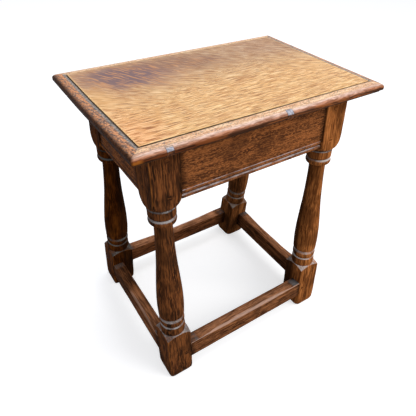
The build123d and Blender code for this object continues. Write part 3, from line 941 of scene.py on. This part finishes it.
def end_moulding(t, place, out, low):
    """End grain of the left and right edges: orange rays over grey, a grey strip of dust and painted
    reflection, dark patina and painted shade underneath.
    """
    bent = t.warp(place, 30.0, 0.004)
    rays = t.noise(t.turned(bent, -0.34, (560, 100, 300)), 1.0, 2.0, 0.6)
    mottle = t.streaks(bent, (380, 380, 380), 2.0, 0.6)
    # grey strip by the quirk: dust and a painted reflection; dark underneath: dark patina and painted
    # shade
    strip = t.between(mottle, 0.4, 0.6, (0.15, 0.155, 0.15), (0.34, 0.31, 0.28))
    under = t.between(mottle, 0.4, 0.6, (0.024, 0.009, 0.004), (0.085, 0.03, 0.012))
    return t.layers(
        t.between(rays, 0.44, 0.56, (0.19, 0.125, 0.1), (0.68, 0.3, 0.14)),
        (mottle, 0.44, 0.36, 0.75, (0.13, 0.085, 0.07)),
        (mottle, 0.56, 0.64, 0.6, (0.85, 0.46, 0.25)),
        (out, 0.007, 0.0048, 0.85, strip),
        (t.times(rays, 0.003, low), 0.0034, 0.0066, 1, under),
    )


def top_oak():
    """Golden worn oak of the top, stained at the back left and dark in its moulding."""
    t = Shade("oak_top")
    place = t.place()
    _, deep, level = t.parts(place)
    low = t.math("SUBTRACT", HEIGHT, level)
    # the cut edges of the recesses carry no attributes, so in front the distance out comes from Y
    out = t.math("MAXIMUM", t.attribute("out"), t.math("SUBTRACT", MOULDING - TOP_HALF[1], deep))
    blotch = t.noise(place, 11.0, 3.0, 0.55)
    field, height = field_oak(t, place, blotch)
    field = stained(t, place, field)
    field = t.mix(t.times(t.attribute("wear_and_highlight"), 0.5), field, (0.98, 0.66, 0.3))
    front, end = front_moulding(t, place, out, low), end_moulding(t, place, out, low)
    band = t.mix(t.attribute("end_grain"), front, end)
    # near black under the nose: dark patina and painted shade
    band = t.layers(band, (low, 0.0095, 0.0135, 1, (0.03, 0.012, 0.006)))
    colour = t.between(out, -0.0002, 0.0004, field, band)
    # painted shade in the quirk
    colour = t.mix(t.attribute("grime_and_shade"), colour, (0.022, 0.018, 0.014))
    plain = t.streaks(place, (9, 120, 120), 3.0, 0.6)
    below = t.between(plain, 0.4, 0.6, (0.075, 0.036, 0.018), (0.15, 0.075, 0.036))
    colour = t.between(low, TOP_THICK - 0.8 * MM, TOP_THICK - 0.2 * MM, colour, below)
    return t.wood(colour, t.clip(blotch, 0.3, 0.7, 0.4, 0.52), height, 0.45, 0.0004, 0.04)


def patch_oak():
    """Weathered oak of the two blocks in the front edge: tan, grey, and dark underneath."""
    t = Shade("oak_patches")
    place = t.place()
    across, _, level = t.parts(place)
    fleck = t.streaks(place, (260, 500, 500), 3.0, 0.6)
    pale = t.between(fleck, 0.4, 0.6, (0.27, 0.28, 0.33), (0.52, 0.51, 0.56))
    dark = t.between(fleck, 0.4, 0.6, (0.07, 0.027, 0.014), (0.24, 0.09, 0.04))
    tan = t.between(fleck, 0.42, 0.57, (0.34, 0.25, 0.2), (0.78, 0.54, 0.38))
    edge = t.times(fleck, 0.0012, level)
    colour = t.between(edge, HEIGHT - 6.8 * MM, HEIGHT - 5.8 * MM, dark, pale)
    # the left one's tan begins lower
    edge = t.times(t.clip(across, -0.1, -0.11), 0.0013, edge)
    colour = t.between(edge, HEIGHT - 1.8 * MM, HEIGHT - 0.8 * MM, colour, tan)
    return t.wood(colour, t.clip(fleck, 0.3, 0.7, 0.45, 0.6), fleck, 0.4, 0.0003, 0.05)


def dull_steel():
    """Old dull steel of the hidden screws."""
    t = Shade("dull_steel")
    rust = t.noise(t.place(), 300.0, 3.0)
    inputs = {
        "Base Color": t.between(rust, 0.4, 0.7, (0.28, 0.25, 0.23), (0.12, 0.06, 0.035)),
        "Metallic": 1.0,
        "Roughness": t.clip(rust, 0.3, 0.7, 0.4, 0.7),
        "Normal": t.add("Bump", {"Strength": 0.3, "Distance": 0.0002, "Height": rust}),
    }
    return t.surface(t.add("BsdfPrincipled", inputs))


# ---- camera, light and floor

def make_camera():
    """The photograph's view: place, turn and lens from the fitted corners of the top and feet."""
    yaw, pitch, roll = 0.58897, 0.67744, 0.03472
    place = (-0.3788, -0.5243, 0.77708)
    level = Vector((math.cos(yaw), -math.sin(yaw), 0))
    flat = math.cos(pitch)
    forward = Vector((math.sin(yaw) * flat, math.cos(yaw) * flat, -math.sin(pitch)))
    above = level.cross(forward)
    right = math.cos(roll) * level + math.sin(roll) * above
    up = math.cos(roll) * above - math.sin(roll) * level
    data = bpy.data.cameras.new("camera")
    data.sensor_width = 36.0
    data.lens = 35.017
    data.shift_x = 0.01837
    data.shift_y = -0.0158
    camera = place_in_scene("camera", data)
    turn = Matrix((right, up, -forward)).transposed().to_4x4()
    camera.matrix_world = Matrix.Translation(place) @ turn
    bpy.context.scene.camera = camera


def make_light(name, place, aim, size, power, colour):
    """A soft square lamp that looks at a point."""
    data = bpy.data.lights.new(name, "AREA")
    data.shape = "SQUARE"
    data.size = size
    data.energy = power
    data.color = colour
    lamp = place_in_scene(name, data)
    lamp.location = place
    lamp.rotation_euler = (Vector(aim) - Vector(place)).to_track_quat("-Z", "Y").to_euler()


def make_world():
    """Sky light, bluer from above and dimmer from the left; what the camera sees of it is white."""
    t = Shade("studio", "World")
    across, _, up = t.parts(t.add("TexCoord", {}, out="Generated"))
    rise = t.add("MapRange", {"Value": up, "From Max": 0.9})
    side = t.add("MapRange", {"Value": across, "From Min": -0.9, "From Max": 0.3, "To Min": 0.58})
    sky = t.mix(rise, (0.42, 0.39, 0.36), (0.85, 0.9, 1.0))
    sky = t.add("VectorMath", {0: sky, "Scale": side}, operation="SCALE")
    light = t.add("Background", {"Color": sky, "Strength": 0.75})
    white = t.add("Background", {"Color": (1, 1, 1, 1)})
    bpy.context.scene.world = t.surface(t.add("MixShader", {0: t.seen(), 1: light, 2: white}))


def make_floor():
    """A pale floor that shows white to the camera and keeps the stool's shadow."""
    t = Shade("pale_floor")
    camera_ray = t.add("LightPath", {}, out="Is Camera Ray")
    plain = t.add("BsdfDiffuse", {"Color": t.mix(t.seen(), (0.35, 0.34, 0.33), (0.64, 0.64, 0.64))})
    glow = t.add("Emission", {"Color": (1, 1, 1, 1), "Strength": t.times(camera_ray, 0.62)})
    mesh = bpy.data.meshes.new("floor")
    corners = [(-6, -6, 0), (6, -6, 0), (6, 6, 0), (-6, 6, 0)]
    mesh.from_pydata(corners, [], [(0, 1, 2, 3)])
    mesh.materials.append(t.surface(t.add("AddShader", {0: plain, 1: glow})))
    floor = place_in_scene("floor", mesh)
    floor.location.z = -0.2 * MM


# ---- the stool

make_camera()
make_world()
make_floor()
make_light("key", (1.15, -1.55, 1.7), (0, 0, 0.3), 1.2, 25, (1.0, 0.97, 0.93))
make_light("sky panel", (0.1, 0.2, 2.7), (0, 0, 0.4), 1.3, 26, (0.95, 0.96, 1.0))
bpy.context.scene.view_settings.view_transform = "Standard"

# Dark, brown and orange tones of the oak, by what it is in; the right legs' tones are painted lighter as
# lit, and the back left's darker as shaded
LEG_TONES = ((0.036, 0.0154, 0.0078), (0.146, 0.049, 0.019), (0.35, 0.12, 0.036))
LIT_RUDDY_TONES = ((0.13, 0.041, 0.011), (0.5, 0.166, 0.044), (0.74, 0.268, 0.074))
SHADED_BACK_TONES = ((0.027, 0.007, 0.0013), (0.095, 0.0225, 0.0032), (0.26, 0.076, 0.011))
LIT_FAR_TONES = ((0.044, 0.015, 0.005), (0.245, 0.08, 0.023), (0.42, 0.16, 0.048))
RAIL_TONES = ((0.094, 0.034, 0.015), (0.31, 0.113, 0.038), (0.54, 0.185, 0.056))
STRETCHER_TONES = ((0.064, 0.024, 0.011), (0.245, 0.089, 0.036), (0.5, 0.195, 0.074))
# Tones of each leg, dust and painted sheen on its ledges, light ticks, rubbed arrises, and painted shade
# on its inward sides
LEGS = {
    "front_left": (LEG_TONES, (0.56, 0.53, 0.52), 0.75, 0.8, 0.5),
    "front_right": (LIT_RUDDY_TONES, (0.74, 0.69, 0.66), 0.35, 0.55, 0.8),
    "back_left": (SHADED_BACK_TONES, (0.2, 0.21, 0.2), 0.35, 0.55, 0.8),
    "back_right": (LIT_FAR_TONES, (0.24, 0.22, 0.2), 0.35, 0.55, 0.15),
}
# Dust and painted sheen on the ledges of each rail; rubbing, painted highlight and dust of the stretcher
# below it
SIDES = {
    "front": ((0.62, 0.53, 0.53), 0.6, 0.55, (0.16, 0.15, 0.145)),
    "back": ((0.11, 0.08, 0.07), 0.95, 0.95, (0.16, 0.15, 0.145)),
    "left": ((0.11, 0.08, 0.07), 0.3, 0.3, (0.24, 0.23, 0.225)),
    "right": ((0.11, 0.08, 0.07), 0.5, 0.5, (0.16, 0.15, 0.145)),
}
for i, (corner, (tones, dust_sheen, fleck, rub, inward_shade_share)) in enumerate(LEGS.items()):
    look = {"fleck": fleck, "dust_sheen": dust_sheen, "rub": rub, "rubbed": (0.42, 0.145, 0.035)}
    make_leg(f"leg_{corner}", 100 + i, frame_oak(f"oak_leg_{corner}", 3 + i, tones, **look), inward_shade_share)
for i, (side, (rail_dust_sheen, rub, highlight_share, dust_sheen)) in enumerate(SIDES.items()):
    look = {"fleck": 0.85, "spot": 0.52, "clouds": 0.25, "tick_cells": (210, 600, 600), "dust_sheen": rail_dust_sheen}
    make_rail(f"rail_{side}", 200 + i, frame_oak(f"oak_rail_{side}", 11 + i, RAIL_TONES, **look))
    look = {"fleck": 0.7, "dust_sheen": dust_sheen, "rub": rub, "highlight_share": highlight_share}
    oak = frame_oak(f"oak_stretcher_{side}", 21 + i, STRETCHER_TONES, **look)
    make_stretcher(f"stretcher_{side}", 300 + i, oak)
top = make_top(top_oak())
recess = top.modifiers.new("recess", "BOOLEAN")
recess.operation = "DIFFERENCE"
recess.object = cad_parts["edge_patches"]
recess.material_mode = "TRANSFER"

cad_materials = {"edge_patches": patch_oak(), "top_screws": dull_steel()}
for i, corner in enumerate(LEGS):
    peg_oak = frame_oak(f"oak_pegs_{corner}", 40 + i, LEGS[corner][0])
    cad_materials[f"rail_pegs_{corner}"] = cad_materials[f"stretcher_pegs_{corner}"] = peg_oak
for node, material in cad_materials.items():
    kept_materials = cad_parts[node].data.materials
    kept_materials.clear()
    kept_materials.append(material)
